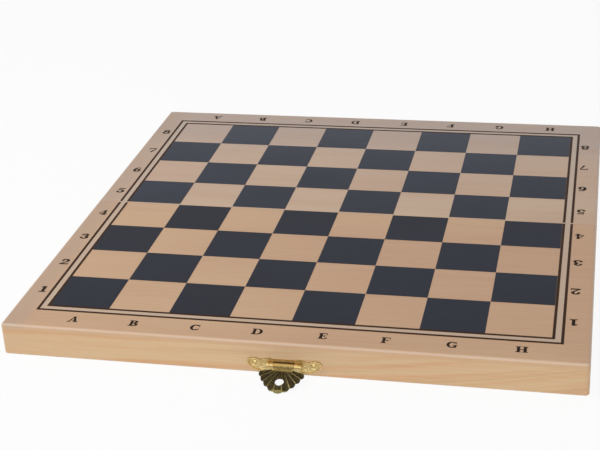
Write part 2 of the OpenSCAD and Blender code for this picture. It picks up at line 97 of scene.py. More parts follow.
def tone(red, green, blue):
    """A colour as it is seen on a screen, 0 to 255, turned into light."""
    def light(value):
        value /= 255
        return value / 12.92 if value <= 0.04045 else ((value + 0.055) / 1.055) ** 2.4
    return (light(red), light(green), light(blue), 1.0)


class Wire:
    """A number that varies over a surface. Arithmetic on wires adds the Math nodes it needs."""

    def __init__(self, graph, socket):
        self.graph = graph
        self.socket = socket

    def math(self, operation, *terms):
        node = self.graph.node("ShaderNodeMath", {"operation": operation}, dict(enumerate(terms)))
        return Wire(self.graph, node.outputs[0])

    def __add__(self, other):
        return self.math("ADD", self, other)

    __radd__ = __add__

    def __sub__(self, other):
        return self.math("SUBTRACT", self, other)

    def __rsub__(self, other):
        return self.math("SUBTRACT", other, self)

    def __mul__(self, other):
        return self.math("MULTIPLY", self, other)

    __rmul__ = __mul__

    def __pow__(self, other):
        return self.math("POWER", self, other)

    def __abs__(self):
        return self.math("ABSOLUTE", self)

    def cos(self):
        return self.math("COSINE", self)

    def greater(self, other):
        """The greater of two values."""
        return self.math("MAXIMUM", self, other)

    def ramp(self, low, high):
        """0 below low, 1 above high, smooth between them. Low may be the greater."""
        node = self.graph.node(
            "ShaderNodeMapRange", {"interpolation_type": "SMOOTHSTEP"},
            {0: self, "From Min": low, "From Max": high, "To Min": 0.0, "To Max": 1.0})
        return Wire(self.graph, node.outputs[0])

    def band(self, start, full, waning, end):
        """1 from full to waning, 0 before start and past end, smooth between them."""
        return self.ramp(start, full) * self.ramp(end, waning)


class Graph:
    """A node tree, and the one way in which its nodes are added."""

    def __init__(self, tree):
        self.tree = tree
        self.tree.nodes.clear()

    def node(self, kind, settings=None, values=None):
        node = self.tree.nodes.new(kind)
        for name, value in (settings or {}).items():
            setattr(node, name, value)
        for key, value in (values or {}).items():
            self.feed(node.inputs[key], value)
        return node

    def feed(self, socket, value):
        if isinstance(value, Wire):
            value = value.socket
        if isinstance(value, bpy.types.NodeSocket):
            self.tree.links.new(value, socket)
        else:
            socket.default_value = value

    def seen_rays(self):
        """1 for rays from the camera, straight, reflected or through something clear."""
        path = self.node("ShaderNodeLightPath").outputs
        camera, reflected, through = [Wire(self, path[name]) for name in (
            "Is Camera Ray", "Is Glossy Ray", "Is Transmission Ray")]
        return camera.greater(reflected).greater(through)


class Finish(Graph):
    """A material on a principled surface, in the piece's own Object coordinates."""

    def __init__(self, name, **constants):
        self.material = bpy.data.materials.new(name)
        self.material.use_nodes = True
        super().__init__(self.material.node_tree)
        self.surface = self.node("ShaderNodeBsdfPrincipled", {}, constants)
        self.output = self.node(
            "ShaderNodeOutputMaterial", {}, {"Surface": self.surface.outputs[0]})
        self.place = self.node("ShaderNodeTexCoord").outputs["Object"]

    def mapped(self, scale, turn=(0, 0, 0), centre=(0, 0, 0)):
        """Object coordinates about a centre, turned by degrees and then scaled."""
        shift = self.node("ShaderNodeVectorMath", {"operation": "SUBTRACT"},
                          {0: self.place, 1: centre}).outputs[0]
        turned = self.node("ShaderNodeMapping", {"vector_type": "POINT"}, {
            "Vector": shift, "Rotation": [math.radians(angle) for angle in turn]}).outputs[0]
        return self.scaled(turned, scale)

    def scaled(self, vector, scale):
        return self.node("ShaderNodeVectorMath", {"operation": "MULTIPLY"},
                         {0: vector, 1: scale}).outputs[0]

    def axes(self, vector=None):
        node = self.node("ShaderNodeSeparateXYZ", {}, {0: vector or self.place})
        return [Wire(self, output) for output in node.outputs]

    def noise(self, vector, scale=1.0, detail=2.0, roughness=0.5, distortion=0.0):
        node = self.node("ShaderNodeTexNoise", {}, {
            "Vector": vector, "Scale": scale, "Detail": detail,
            "Roughness": roughness, "Distortion": distortion})
        return Wire(self, node.outputs[0])

    def blend(self, factor, low, high):
        node = self.node("ShaderNodeMix", {"data_type": "RGBA"}, {0: factor, 6: low, 7: high})
        return node.outputs[2]

    def bumped(self, height, distance, strength=1.0):
        node = self.node("ShaderNodeBump", {}, {
            "Height": height, "Distance": distance, "Strength": strength})
        return node.outputs[0]

    def finish(self, **inputs):
        for name, value in inputs.items():
            self.feed(self.surface.inputs[name.replace("_", " ")], value)
        return self.material


def wood_fibres(finish, along):
    """Fine fibres, soft figure, a slow drift of colour and short dark pores along one axis.

    Scales are changes per metre: the first along the grain, the other two across it.
    """
    turn = (0, 0, 0) if along == "x" else (0, 0, 90)
    fibres = finish.noise(finish.mapped((35, 900, 900), turn), detail=3.0, roughness=0.6)
    figure = finish.noise(finish.mapped((5, 75, 75), turn), detail=3.0, distortion=0.5)
    drift = finish.noise(finish.mapped((7, 11, 11), turn), detail=1.0)
    pores = finish.noise(finish.mapped((150, 1500, 1500), turn), detail=1.0).ramp(0.66, 0.76)
    return fibres, figure, drift, pores


def past_fold(finish, start, end):
    """0 up to one distance past the fold and 1 from a second one on, in millimetres."""
    return (finish.axes()[1] - FOLD_Y).ramp(start * MM, end * MM)


def from_middle(finish):
    """Distance from the middle of the board, measured along its squares."""
    x, y, _ = finish.axes()
    return abs(x).greater(abs(y - FOLD_Y))


# Distances past the fold, in millimetres
FOLD_STEP = 0.1
# The far rows and row 8 mark where painted sheen and painted fall-off of light make the far veneer
# greyer and darker and the far ink paler.
ROW_8_START, ROW_8_END = 85, 115
FAR_ROWS_START, FAR_ROWS_END = 50, 140


def printed_veneer():
    """Pinkish veneer under satin lacquer. The far sheet is greyer than the near one, partly in its
    own tone and partly as painted sheen, and greyer and darker still towards row 8 with painted
    sheen and painted fall-off of light. The left margin is greyer too. The strip between the
    printed lines is paler, the rounded top edge is paler with a painted highlight, and the
    panels' edges are a tone of their own."""
    wood = Finish("printed_veneer", **{"Coat Roughness": 0.35, "Specular IOR Level": 0.4})
    fibres, figure, drift, pores = wood_fibres(wood, "x")
    near = wood.blend(drift.ramp(0.3, 0.7), tone(208, 168, 130), tone(200, 157, 122))
    # The far sheet's greyer tone is partly its own and partly painted sheen. Over the far rows and
    # towards row 8, painted sheen and painted fall-off of light grey and darken it.
    far = wood.blend(drift.ramp(0.3, 0.7), tone(207, 178, 151), tone(199, 166, 142))
    far = wood.blend(past_fold(wood, FAR_ROWS_START, FAR_ROWS_END) * 0.7, far, tone(188, 165, 150))
    far = wood.blend(past_fold(wood, ROW_8_START, ROW_8_END) * 0.5, far, tone(172, 154, 148))
    face = wood.blend(past_fold(wood, -FOLD_STEP, FOLD_STEP), near, far)
    face = wood.blend(figure.ramp(0.42, 0.7) * 0.3, face, tone(190, 147, 114))
    face = wood.blend(fibres.ramp(0.35, 0.7) * 0.22, face, tone(216, 186, 154))
    face = wood.blend(pores * 0.22, face, tone(160, 118, 90))
    x, _, z = wood.axes()
    left_margin = (x * -1 - SQUARES_HALF).ramp(0, 13 * MM)
    face = wood.blend(left_margin * 0.6, face, tone(182, 155, 135))
    past_squares = from_middle(wood) - SQUARES_HALF
    strip = past_squares.band(1.3 * MM, 1.6 * MM, 4.2 * MM, 4.5 * MM)
    face = wood.blend(strip * 0.5, face, tone(198, 182, 166))
    below_top = BOARD_TOP - z
    # Painted highlight: the rounded top edge is blended paler, as if it caught the light.
    painted_edge_highlight = below_top.band(0.1 * MM, 0.3 * MM, 1.0 * MM, 1.3 * MM)
    edge = wood.blend(painted_edge_highlight * 0.4, face, tone(224, 207, 190))
    edge = wood.blend(below_top.ramp(1.2 * MM, 1.8 * MM) * 0.6, edge, tone(208, 174, 136))
    height = fibres * 0.7 - pores * 0.6
    return wood.finish(
        Base_Color=edge,
        Roughness=0.42 + 0.12 * fibres,
        Coat_Weight=0.12 + 0.1 * drift,
        Normal=wood.bumped(height, 0.03 * MM, 0.35))


def printing_ink():
    """Blue black ink on the squares and brown ink on the lines, with the fibres showing in both.
    The squares are paler on the far sheet and paler still towards row 8, with painted sheen."""
    ink = Finish("printing_ink", **{"Specular IOR Level": 0.06})
    fibres, _, drift, pores = wood_fibres(ink, "x")
    near = ink.blend(drift.ramp(0.3, 0.7), tone(43, 45, 54), tone(46, 49, 60))
    # Painted sheen: the far ink is paler, and paler still over the far rows.
    far = ink.blend(drift.ramp(0.3, 0.7), tone(54, 57, 67), tone(60, 64, 76))
    far = ink.blend(past_fold(ink, FAR_ROWS_START, FAR_ROWS_END) * 0.6, far, tone(84, 87, 97))
    colour = ink.blend(past_fold(ink, -FOLD_STEP, FOLD_STEP), near, far)
    colour = ink.blend(fibres.ramp(0.5, 0.75) * 0.25, colour, tone(66, 66, 72))
    colour = ink.blend(pores * 0.4, colour, tone(14, 12, 12))
    on_lines = from_middle(ink).ramp(SQUARES_HALF - 0.1 * MM, SQUARES_HALF + 0.05 * MM)
    colour = ink.blend(on_lines, colour, tone(56, 32, 14))
    return ink.finish(
        Base_Color=colour,
        Roughness=0.4 + 0.15 * fibres,
        Normal=ink.bumped(fibres * 0.7 - pores * 0.6, 0.03 * MM, 0.35))


def lettering_ink():
    """The brown black of the small letters, a little worn where it sits on the fibres."""
    ink = Finish("lettering_ink", **{"Specular IOR Level": 0.06})
    fibres, _, drift, _ = wood_fibres(ink, "x")
    colour = ink.blend(fibres.ramp(0.5, 0.75) * 0.4, tone(38, 24, 13), tone(62, 44, 30))
    return ink.finish(Base_Color=colour, Roughness=0.5 + 0.1 * drift)


# The bands run level up to GRAIN_START left of the rail's middle, then climb with the square
# of the way past it.
GRAIN_START = 0.06
GRAIN_CLIMB = 0.5


def rail_wood(name, along):
    """Flat sawn pale wood: soft peach bands that climb more and more along the rail.

    The wood round the pin inside the clasp plate's cut-out is darkened with painted shade.
    """
    wood = Finish(name, **{"Coat Roughness": 0.4, "Specular IOR Level": 0.4})
    fibres, _, drift, pores = wood_fibres(wood, along)
    x, y, z = wood.axes()
    run, across = (x, y) if along == "x" else (y, x)
    past = (run + GRAIN_START).greater(0.0)
    climbed = z - past * past * GRAIN_CLIMB
    grain = wood.node("ShaderNodeCombineXYZ", {}, {0: run, 1: climbed, 2: across}).outputs[0]

    def streaks(scale, distortion):
        return wood.noise(wood.scaled(grain, scale), detail=2.0, distortion=distortion)

    bands, lines = streaks((5, 170, 40), 0.8), streaks((9, 620, 90), 0.4)
    colour = wood.blend(drift.ramp(0.3, 0.7), tone(212, 180, 140), tone(206, 173, 136))
    colour = wood.blend(bands.ramp(0.45, 0.66) * 0.7, colour, tone(208, 158, 114))
    colour = wood.blend(lines.ramp(0.5, 0.72) * 0.3, colour, tone(190, 140, 98))
    colour = wood.blend(fibres.ramp(0.4, 0.75) * 0.25, colour, tone(226, 200, 160))
    colour = wood.blend(pores * 0.15, colour, tone(160, 112, 72))
    if along == "x":
        # Painted shade: the wood round the pin inside the clasp plate's cut-out is darkened, as if
        # shadowed by the plate and the knuckle.
        painted_window_shade = (abs(x - CLASP_X).ramp(5.6 * MM, 5.0 * MM)
                  * abs(z - HASP_PIN.z).ramp(1.7 * MM, 1.3 * MM)
                  * y.ramp(CLASP_FACE + 2 * MM, CLASP_FACE + 1 * MM))
        colour = wood.blend(painted_window_shade * 0.85, colour, tone(70, 40, 18))
    return wood.finish(
        Base_Color=colour,
        Roughness=0.45 + 0.12 * fibres,
        Coat_Weight=0.08 + 0.08 * drift,
        Normal=wood.bumped(fibres * 0.8 + lines * 0.4 - pores * 0.6, 0.03 * MM, 0.4))


def bright_brass():
    """Pressed brass sheet with pale and brown stains and a fine grain."""
    brass = Finish("bright_brass", Metallic=1.0)
    stains = brass.noise(brass.place, scale=420.0, detail=3.0)
    grain = brass.noise(brass.place, scale=2600.0, detail=2.0)
    wear = stains.ramp(0.35, 0.7)
    colour = brass.blend(wear, tone(208, 181, 127), tone(178, 148, 92))
    colour = brass.blend(grain.ramp(0.55, 0.75) * 0.4, colour, tone(140, 108, 56))
    return brass.finish(
        Base_Color=colour,
        Roughness=0.22 + 0.2 * stains,
        Normal=brass.bumped(stains + 0.3 * grain, 0.12 * MM, 0.5))


def polished_brass():
    """Brass on the highest places, rubbed bright."""
    brass = Finish("polished_brass", Metallic=1.0)
    stains = brass.noise(brass.place, scale=900.0, detail=2.0)
    colour = brass.blend(stains.ramp(0.4, 0.7), tone(234, 222, 176), tone(212, 190, 130))
    return brass.finish(Base_Color=colour, Roughness=0.16 + 0.2 * stains)


def worn_brass():
    """The ridges of the darkened shell, worn pale but not bright."""
    brass = Finish("worn_brass", Metallic=0.8)
    stains = brass.noise(brass.place, scale=900.0, detail=2.0)
    colour = brass.blend(stains.ramp(0.35, 0.7), tone(138, 126, 82), tone(104, 92, 56))
    return brass.finish(Base_Color=colour, Roughness=0.35 + 0.2 * stains)


def turned_brass():
    """Plain turned brass of pins, screws and nails."""
    brass = Finish("turned_brass", Metallic=1.0)
    rings = brass.noise(brass.mapped((3000, 600, 600)), detail=2.0)
    colour = brass.blend(rings, tone(222, 204, 146), tone(192, 166, 104))
    return brass.finish(Base_Color=colour, Roughness=0.25 + 0.2 * rings,
                        Normal=brass.bumped(rings, 0.02 * MM, 0.4))


def antique_brass():
    """Darkened brass of the shell hasp: worn paler on its ridges, its neck and its tongue."""
    brass = Finish("antique_brass", Metallic=0.85)
    hanging = brass.mapped((1, 1, 1), (math.degrees(HASP_LEAN), 0, 0), tuple(HASP_PIN))
    x, _, z = brass.axes(hanging)
    from_root = z + SHELL_ROOT * MM
    angle = x.math("ARCTAN2", x, from_root * -1.0)
    ridge = abs((angle * (math.pi / math.radians(SHELL_LOBE))).cos()).ramp(0.26, 0.08)
    reach = (x * x + from_root * from_root) ** 0.5
    stains = brass.noise(brass.place, scale=700.0, detail=3.0)
    dark = brass.blend(stains.ramp(0.35, 0.65), tone(42, 34, 16), tone(70, 60, 33))
    worn = brass.blend(stains, tone(136, 122, 77), tone(162, 146, 93))
    on_shell = reach.ramp(2.6 * MM, 3.4 * MM)
    colour = brass.blend(ridge * on_shell * 0.9, dark, worn)
    tongue = z.ramp(-15.3 * MM, -15.9 * MM)
    colour = brass.blend(tongue * 0.8, colour, tone(150, 138, 84))
    neck = z.ramp(-4.6 * MM, -2.8 * MM) * abs(x).ramp(5.4 * MM, 4.6 * MM)
    colour = brass.blend(neck, colour, tone(180, 150, 88))
    return brass.finish(
        Base_Color=colour,
        Roughness=0.34 + 0.2 * stains,
        Normal=brass.bumped(stains, 0.05 * MM, 0.5))


FLOOR_CLEARNESS = 0.91


def studio_floor():
    """Mostly clear to the camera and to reflections, which see the white world through it, so
    that the object's shadow on it is faint.

    Light passes it too, so that a tray folded below the tabletop is lit.
    """
    floor = Finish("studio_floor", Roughness=0.9)
    floor.finish(Base_Color=tone(250, 250, 250))
    shadow_rays = Wire(floor, floor.node("ShaderNodeLightPath").outputs["Is Shadow Ray"])
    clearness = (floor.seen_rays() * FLOOR_CLEARNESS).greater(shadow_rays)
    clear = floor.node("ShaderNodeBsdfTransparent", {}, {"Color": WHITE})
    mixed = floor.node("ShaderNodeMixShader", {}, {
        0: clearness, 1: floor.surface.outputs[0], 2: clear.outputs[0]})
    floor.feed(floor.output.inputs["Surface"], mixed.outputs[0])
    return floor.material


class Pattern(Graph):
    """A Geometry Nodes tree that dresses drawn lines, with named inputs for its sizes."""

    def __init__(self, name, inputs):
        tree = bpy.data.node_groups.new(name, "GeometryNodeTree")
        tree.interface.new_socket("Lines", in_out="INPUT", socket_type="NodeSocketGeometry")
        tree.interface.new_socket("Finish", in_out="INPUT", socket_type="NodeSocketMaterial")
        for socket in inputs:
            kind = "NodeSocketInt" if socket == "Sides" else "NodeSocketFloat"
            tree.interface.new_socket(socket, in_out="INPUT", socket_type=kind)
        tree.interface.new_socket("Dressed", in_out="OUTPUT", socket_type="NodeSocketGeometry")
        super().__init__(tree)
        self.inputs = self.node("NodeGroupInput").outputs
        self.curves = self.node("GeometryNodeMeshToCurve", {}, {
            "Mesh": self.inputs["Lines"]}).outputs[0]

    def end(self, geometry):
        real = self.node("GeometryNodeRealizeInstances", {}, {0: geometry}).outputs[0]
        dressed = self.node("GeometryNodeSetMaterial", {}, {
            "Geometry": real, "Material": self.inputs["Finish"]}).outputs[0]
        self.node("NodeGroupOutput", {}, {0: dressed})
        return self.tree


def wire_pattern():
    """A round wire along every line, thinner towards both of its ends."""
    pattern = Pattern("wire_along_lines", ["Wire radius", "Sides"])
    profile = pattern.node("GeometryNodeCurvePrimitiveCircle", {"mode": "RADIUS"}, {
        "Resolution": pattern.inputs["Sides"], "Radius": pattern.inputs["Wire radius"]}).outputs[0]
    way = pattern.node("GeometryNodeSplineParameter").outputs["Factor"]
    taper = pattern.node("ShaderNodeFloatCurve", {}, {"Value": way})
    line = taper.mapping.curves[0]
    thin, taper_way = 0.35, 0.2
    line.points[0].location, line.points[1].location = (0.0, thin), (1.0, thin)
    line.points.new(taper_way, 1.0)
    line.points.new(1.0 - taper_way, 1.0)
    taper.mapping.update()
    sized = pattern.node("GeometryNodeSetCurveRadius", {}, {
        "Curve": pattern.curves, "Radius": taper.outputs[0]}).outputs[0]
    wire = pattern.node("GeometryNodeCurveToMesh", {}, {
        "Curve": sized, "Profile Curve": profile, "Scale": taper.outputs[0], "Fill Caps": True})
    return pattern.end(wire.outputs[0])


def bead_pattern():
    """Small round beads at an even distance along every line."""
    pattern = Pattern("beads_along_lines", ["Bead radius", "Spacing"])
    spots = pattern.node("GeometryNodeCurveToPoints", {"mode": "LENGTH"}, {
        "Curve": pattern.curves, "Length": pattern.inputs["Spacing"]}).outputs[0]
    bead = pattern.node("GeometryNodeMeshUVSphere", {}, {
        "Segments": 10, "Rings": 6, "Radius": pattern.inputs["Bead radius"]}).outputs[0]
    beads = pattern.node("GeometryNodeInstanceOnPoints", {}, {"Points": spots, "Instance": bead})
    return pattern.end(beads.outputs[0])


# Mesh helpers

WELD = 0.001 * MM
ROUND_BELOW = 50


def along_lines(name, tree, lines, sizes, material, body):
    """Dresses polylines with a pattern and makes the result one plain piece.

    Its faces shade as one where they meet at less than ROUND_BELOW degrees.
    """
    drawn = bpy.data.meshes.new(name + "_lines")
    points = [point for line in lines for point in line]
    edges, start = [], 0
    for line in lines:
        edges += [(start + i, start + i + 1) for i in range(len(line) - 1)]
        start += len(line)
    drawn.from_pydata(points, edges, [])
    holder = bpy.data.objects.new(name + "_lines", drawn)
    scene.collection.objects.link(holder)
    modifier = holder.modifiers.new("pattern", "NODES")
    modifier.node_group = tree
    sizes = dict(sizes, Finish=material)
    for item in tree.interface.items_tree:
        if item.item_type == "SOCKET" and item.in_out == "INPUT" and item.name in sizes:
            modifier[item.identifier] = sizes[item.name]
    depsgraph = bpy.context.evaluated_depsgraph_get()
    mesh = bpy.data.meshes.new_from_object(holder.evaluated_get(depsgraph), depsgraph=depsgraph)
    mesh.name = name
    bpy.data.objects.remove(holder)
    bpy.data.meshes.remove(drawn)
    mended = bmesh.new()
    mended.from_mesh(mesh)
    bmesh.ops.remove_doubles(mended, verts=mended.verts, dist=WELD)
    bmesh.ops.recalc_face_normals(mended, faces=mended.faces)
    mended.to_mesh(mesh)
    mended.free()
    return piece(name, mesh, material, body, ROUND_BELOW)


def piece(name, mesh, material, body, smooth_below=None):
    """Turns a mesh into a finished piece that rides on a body."""
    made = bpy.data.objects.new(name, mesh)
    scene.collection.objects.link(made)
    mesh.materials.clear()
    mesh.materials.append(material)
    if smooth_below is not None:
        mesh.shade_smooth()
        mesh.set_sharp_from_angle(angle=math.radians(smooth_below))
    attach(made, body)
    return made


def dress(names, material):
    """Gives CAD nodes their finish."""
    for name in names:
        mesh = nodes[name].data
        mesh.materials.clear()
        mesh.materials.append(material)


def arc(centre, radii, start, end, steps=14):
    """Points on an ellipse's arc, between two angles in degrees."""
    return [(centre[0] + radii[0] * math.cos(math.radians(start + (end - start) * i / steps)),
             centre[1] + radii[1] * math.sin(math.radians(start + (end - start) * i / steps)))
            for i in range(steps + 1)]


# Lettering: broad bold capitals and numerals with slab serifs, drawn one unit high

STEM = 0.34
HAIR = 0.14
SERIF = 0.11
SERIF_WING = 0.13


def bar(left, bottom, right, top):
    return [(left, bottom), (right, bottom), (right, top), (left, top)]


def stem(left):
    """An upright stroke with a slab serif at each end."""
    right = left + STEM
    return [bar(left, 0, right, 1),
            bar(left - SERIF_WING, 0, right + SERIF_WING, SERIF),
            bar(left - SERIF_WING, 1 - SERIF, right + SERIF_WING, 1)]


def bowl(centre, radii, start, end, side=STEM, cap=HAIR):
    """A curved stroke, thick at its sides and thin at top and bottom."""
    inner = (radii[0] - side, radii[1] - cap)
    return arc(centre, radii, start, end) + arc(centre, inner, end, start)


def ring(centre, radii, side=STEM, cap=HAIR):
    return [bowl(centre, radii, 0, 180, side, cap), bowl(centre, radii, 180, 360, side, cap)]


def dot(centre, radius=0.12):
    return arc(centre, (radius, radius), 0, 345, 12)


# Each glyph is its width and its strokes.
GLYPHS = {
    "A": (1.38, [[(0.17, 0), (0.30, 0), (0.75, 1), (0.62, 1)],
                 [(0.90, 0), (1.22, 0), (0.82, 1), (0.56, 1)],
                 bar(0.34, 0.27, 1.0, 0.36), bar(0.02, 0, 0.46, SERIF), bar(0.76, 0, 1.36, SERIF)]),
    "B": (1.16, stem(0.14) + [bar(0.3, 0.91, 0.6, 1), bar(0.3, 0.46, 0.6, 0.55),
                              bar(0.3, 0, 0.6, 0.09),
                              bowl((0.6, 0.755), (0.42, 0.245), -90, 90),
                              bowl((0.6, 0.275), (0.53, 0.275), -90, 90)]),
    "C": (1.24, [bowl((0.66, 0.5), (0.62, 0.52), 42, 318), bar(1.06, 0.62, 1.14, 1.0),
                 bar(1.08, 0.1, 1.14, 0.34)]),
    "D": (1.34, stem(0.14) + [bar(0.3, 0.91, 0.72, 1), bar(0.3, 0, 0.72, 0.09),
                              bowl((0.7, 0.5), (0.6, 0.5), -90, 90)]),
    "E": (1.06, stem(0.12) + [bar(0.3, 0.9, 0.96, 1), bar(0.3, 0.45, 0.76, 0.56),
                              bar(0.3, 0, 1.0, 0.1), bar(0.87, 0.68, 0.96, 1),
                              bar(0.9, 0, 1.0, 0.34), bar(0.68, 0.34, 0.76, 0.67)]),
    "F": (1.1, stem(0.14) + [bar(0.3, 0.91, 1.04, 1), bar(0.3, 0.46, 0.82, 0.55),
                             bar(0.96, 0.68, 1.04, 1), bar(0.75, 0.36, 0.82, 0.65)]),
    "G": (1.34, [bowl((0.66, 0.5), (0.62, 0.52), 42, 318), bar(1.06, 0.62, 1.14, 1.0),
                 bar(0.9, 0.04, 1.17, 0.44), bar(0.76, 0.38, 1.3, 0.47)]),
    "H": (1.32, stem(0.13) + stem(0.88) + [bar(0.3, 0.45, 1.0, 0.55)]),
    "1": (0.9, [bar(0.28, 0, 0.62, 1), bar(0.06, 0, 0.84, SERIF),
                [(0.08, 0.76), (0.4, 0.82), (0.4, 1), (0.3, 1), (0.08, 0.88)]]),
    "2": (1.1, [bowl((0.54, 0.7), (0.46, 0.31), -25, 175), dot((0.2, 0.7)),
                bar(0.06, 0, 1.02, 0.17), [(0.06, 0.1), (0.3, 0.1), (0.97, 0.6), (0.72, 0.62)],
                bar(0.95, 0, 1.03, 0.32)]),
    "3": (1.08, [bowl((0.5, 0.75), (0.42, 0.26), -90, 165), bowl((0.5, 0.29), (0.5, 0.3), -165, 90),
                 bar(0.38, 0.49, 0.55, 0.57), dot((0.18, 0.76)), dot((0.14, 0.25))]),
    "4": (1.1, [bar(0.54, 0, 0.82, 1), [(0.04, 0.3), (0.16, 0.3), (0.7, 1), (0.58, 1)],
                bar(0.04, 0.22, 1.04, 0.32), bar(0.38, 0, 0.98, 0.08)]),
    "5": (1.08, [bar(0.2, 0.84, 0.94, 1), bar(0.2, 0.5, 0.3, 1),
                 bowl((0.5, 0.33), (0.5, 0.35), -160, 125), dot((0.16, 0.24))]),
    "6": (1.1, ring((0.56, 0.33), (0.48, 0.34)) + [bowl((0.74, 0.42), (0.66, 0.6), 92, 195, 0.26),
                                                   dot((0.86, 0.88), 0.1)]),
    "7": (1.06, [bar(0.06, 0.86, 1.0, 1), [(0.34, 0), (0.6, 0), (1.0, 0.88), (0.86, 0.88)],
                 bar(0.06, 0.66, 0.15, 1)]),
    "8": (1.12, ring((0.56, 0.75), (0.43, 0.26), 0.26) + ring((0.56, 0.28), (0.52, 0.29), 0.29)),
}


def lettering(name, signs, body):
    """One thin inked mesh of letters, half sunk in the board. Each sign is its character, its
    middle, its height and whether it stands upside down."""
    thickness, narrowing = 0.06 * MM, 0.8
    same_point, flat_angle = 1e-5, 0.01
    built = bmesh.new()
    for character, middle, height, upside_down in signs:
        width, strokes = GLYPHS[character]
        points, faces = [], []
        for stroke in strokes:
            faces.append(list(range(len(points), len(points) + len(stroke))))
            points += [Vector(point) for point in stroke]
        flat, _, made, _, _, came_from = delaunay_2d_cdt(points, [], faces, 0, same_point)
        sign = -1 if upside_down else 1
        corners = [built.verts.new((middle[0] + sign * (p.x - width / 2) * height * narrowing,
                                    middle[1] + sign * (p.y - 0.5) * height,
                                    BOARD_TOP + thickness)) for p in flat]
        for face, origin in zip(made, came_from):
            if origin:
                built.faces.new([corners[i] for i in face])
    bmesh.ops.delete(built, geom=[v for v in built.verts if not v.link_faces], context="VERTS")
    bmesh.ops.dissolve_limit(built, angle_limit=flat_angle, verts=built.verts, edges=built.edges)
    walls = bmesh.ops.extrude_face_region(built, geom=list(built.faces))
    lower = [item for item in walls["geom"] if isinstance(item, bmesh.types.BMVert)]
    bmesh.ops.translate(built, verts=lower, vec=(0, 0, -2 * thickness))
    bmesh.ops.recalc_face_normals(built, faces=built.faces)
    mesh = bpy.data.meshes.new(name)
    built.to_mesh(mesh)
    built.free()
    return piece(name, mesh, finishes["lettering"], body)


def board_letters():
    """Letters along the near and far edges and numerals along the sides. Those of the far and
    right sides stand upside down, and E and H stand a little to the right of their files."""
    letter_height, numeral_height = 5.3 * MM, 6.2 * MM
    letter_out, numeral_out, letter_shift = 12.9 * MM, 10.0 * MM, 1.4 * MM
    numeral_inset = 0.5 * MM
    strayed = {"E": 1.0 * MM, "H": 1.0 * MM}
    files = [(-SQUARES_HALF + (i + 0.5) * SQUARE + strayed.get("ABCDEFGH"[i], 0), "ABCDEFGH"[i])
             for i in range(8)]
    near = [(c, (x + letter_shift, FOLD_Y - SQUARES_HALF - letter_out), letter_height, False)
            for x, c in files]
    far = [(c, (x + letter_shift, FOLD_Y + SQUARES_HALF + letter_out), letter_height, True)
           for x, c in files]
    left, right = -SQUARES_HALF - numeral_out, SQUARES_HALF + numeral_out - numeral_inset
    for i in range(8):
        y = FOLD_Y - SQUARES_HALF + (i + 0.5) * SQUARE
        signs = near if i < 4 else far
        signs.append((str(i + 1), (left, y), numeral_height, False))
        signs.append((str(i + 1), (right, y), numeral_height, True))
    lettering("near_lettering", near, "near_half")
    lettering("far_lettering", far, "far_half")


# Fine work on the clasp, drawn as lines in millimetres

def on_clasp(line, out):
    """Places points (x, z) from the pin on the clasp plate, at a height over the wood."""
    return [(CLASP_X + x * MM, CLASP_FACE - out * MM, HASP_PIN.z + z * MM) for x, z in line]


def on_hasp(line):
    """Places points (x, y, z) of the hanging hasp, measured from its pin, where the hasp leans."""
    lean = Matrix.Translation(HASP_PIN) @ Matrix.Rotation(-HASP_LEAN, 4, "X")
    return [tuple(lean @ (Vector(point) * MM)) for point in line]


def spiral(centre, radius, shrink, start, turn, count):
    """Points on a curve that winds inwards. Start and turn are in degrees."""
    return [(centre[0] + (radius - shrink * i) * math.cos(math.radians(start + turn * i)),
             centre[1] + (radius - shrink * i) * math.sin(math.radians(start + turn * i)))
            for i in range(count)]


def clasp_plate_work():
    """Beads on the border of both wings, and the pressed scrolls round the nails.

    Places are (x, z) from the pin on the right wing, and the left wing mirrors them.
    """
    tip_x, tip_z, tip_r = 16.3, 0.6, 2.2
    hump_x = 7.35
    dip_x, dip_z, dip_r = (tip_x + hump_x) / 2, 5.1, 3.0
    inset, field, border = 0.28, 0.5, 0.75
    nail, curl_middle = (14.5, 0.8), (10.6, -0.9)
    scroll = spiral(nail, 2.35, 0.05, -35, -12, 20)
    curl = spiral(curl_middle, 1.7, 0.09, 60, -28, 14)
    stalk = [(8.7, -2.6), (9.8, -3.1), (11.4, -3.0), (12.6, -2.4)]
    beads, scrolls = [], []
    for side in (-1, 1):
        wing = (arc((dip_x, dip_z), (dip_r + inset, dip_r + inset), -128, -52)
                + arc((tip_x, tip_z), (tip_r - inset, tip_r - inset), 98, -38))
        beads.append(on_clasp([(side * x, z) for x, z in wing], border))
        for line in (scroll, curl, stalk):
            scrolls.append(on_clasp([(side * x, z) for x, z in line], field))
    along_lines("clasp_border_beads", bead_tree, beads,
                {"Bead radius": 0.19 * MM, "Spacing": 0.66 * MM},
                finishes["polished"], "near_half")
    along_lines("clasp_scrolls", wire_tree, scrolls, {"Wire radius": 0.17 * MM, "Sides": 8},
                finishes["polished"], "near_half")


def shell_front(angle, way):
    """A point on the front of the hasp's shell, from its root (0) to its edge (1)."""
    between_lobes = 1 - abs(math.cos(math.pi * angle / SHELL_LOBE))
    edge = (SHELL_RADIUS + (SHELL_TIP - SHELL_RADIUS) * math.exp(-(angle / SHELL_TIP_SPREAD) ** 2)
            - SHELL_CUT * between_lobes)
    reach = SHELL_START + (edge - SHELL_START) * way
    swell = SHELL_DOME * 4 * way * (1 - way) * (1 - (angle / SHELL_HALF_ANGLE) ** 2)
    relief = SHELL_RIDGE * between_lobes ** 2 * min(1, 4 * way)
    turn = math.radians(angle)
    return (reach * math.sin(turn), -swell - SHELL_HALF_SHEET - relief,
            -SHELL_ROOT - reach * math.cos(turn))


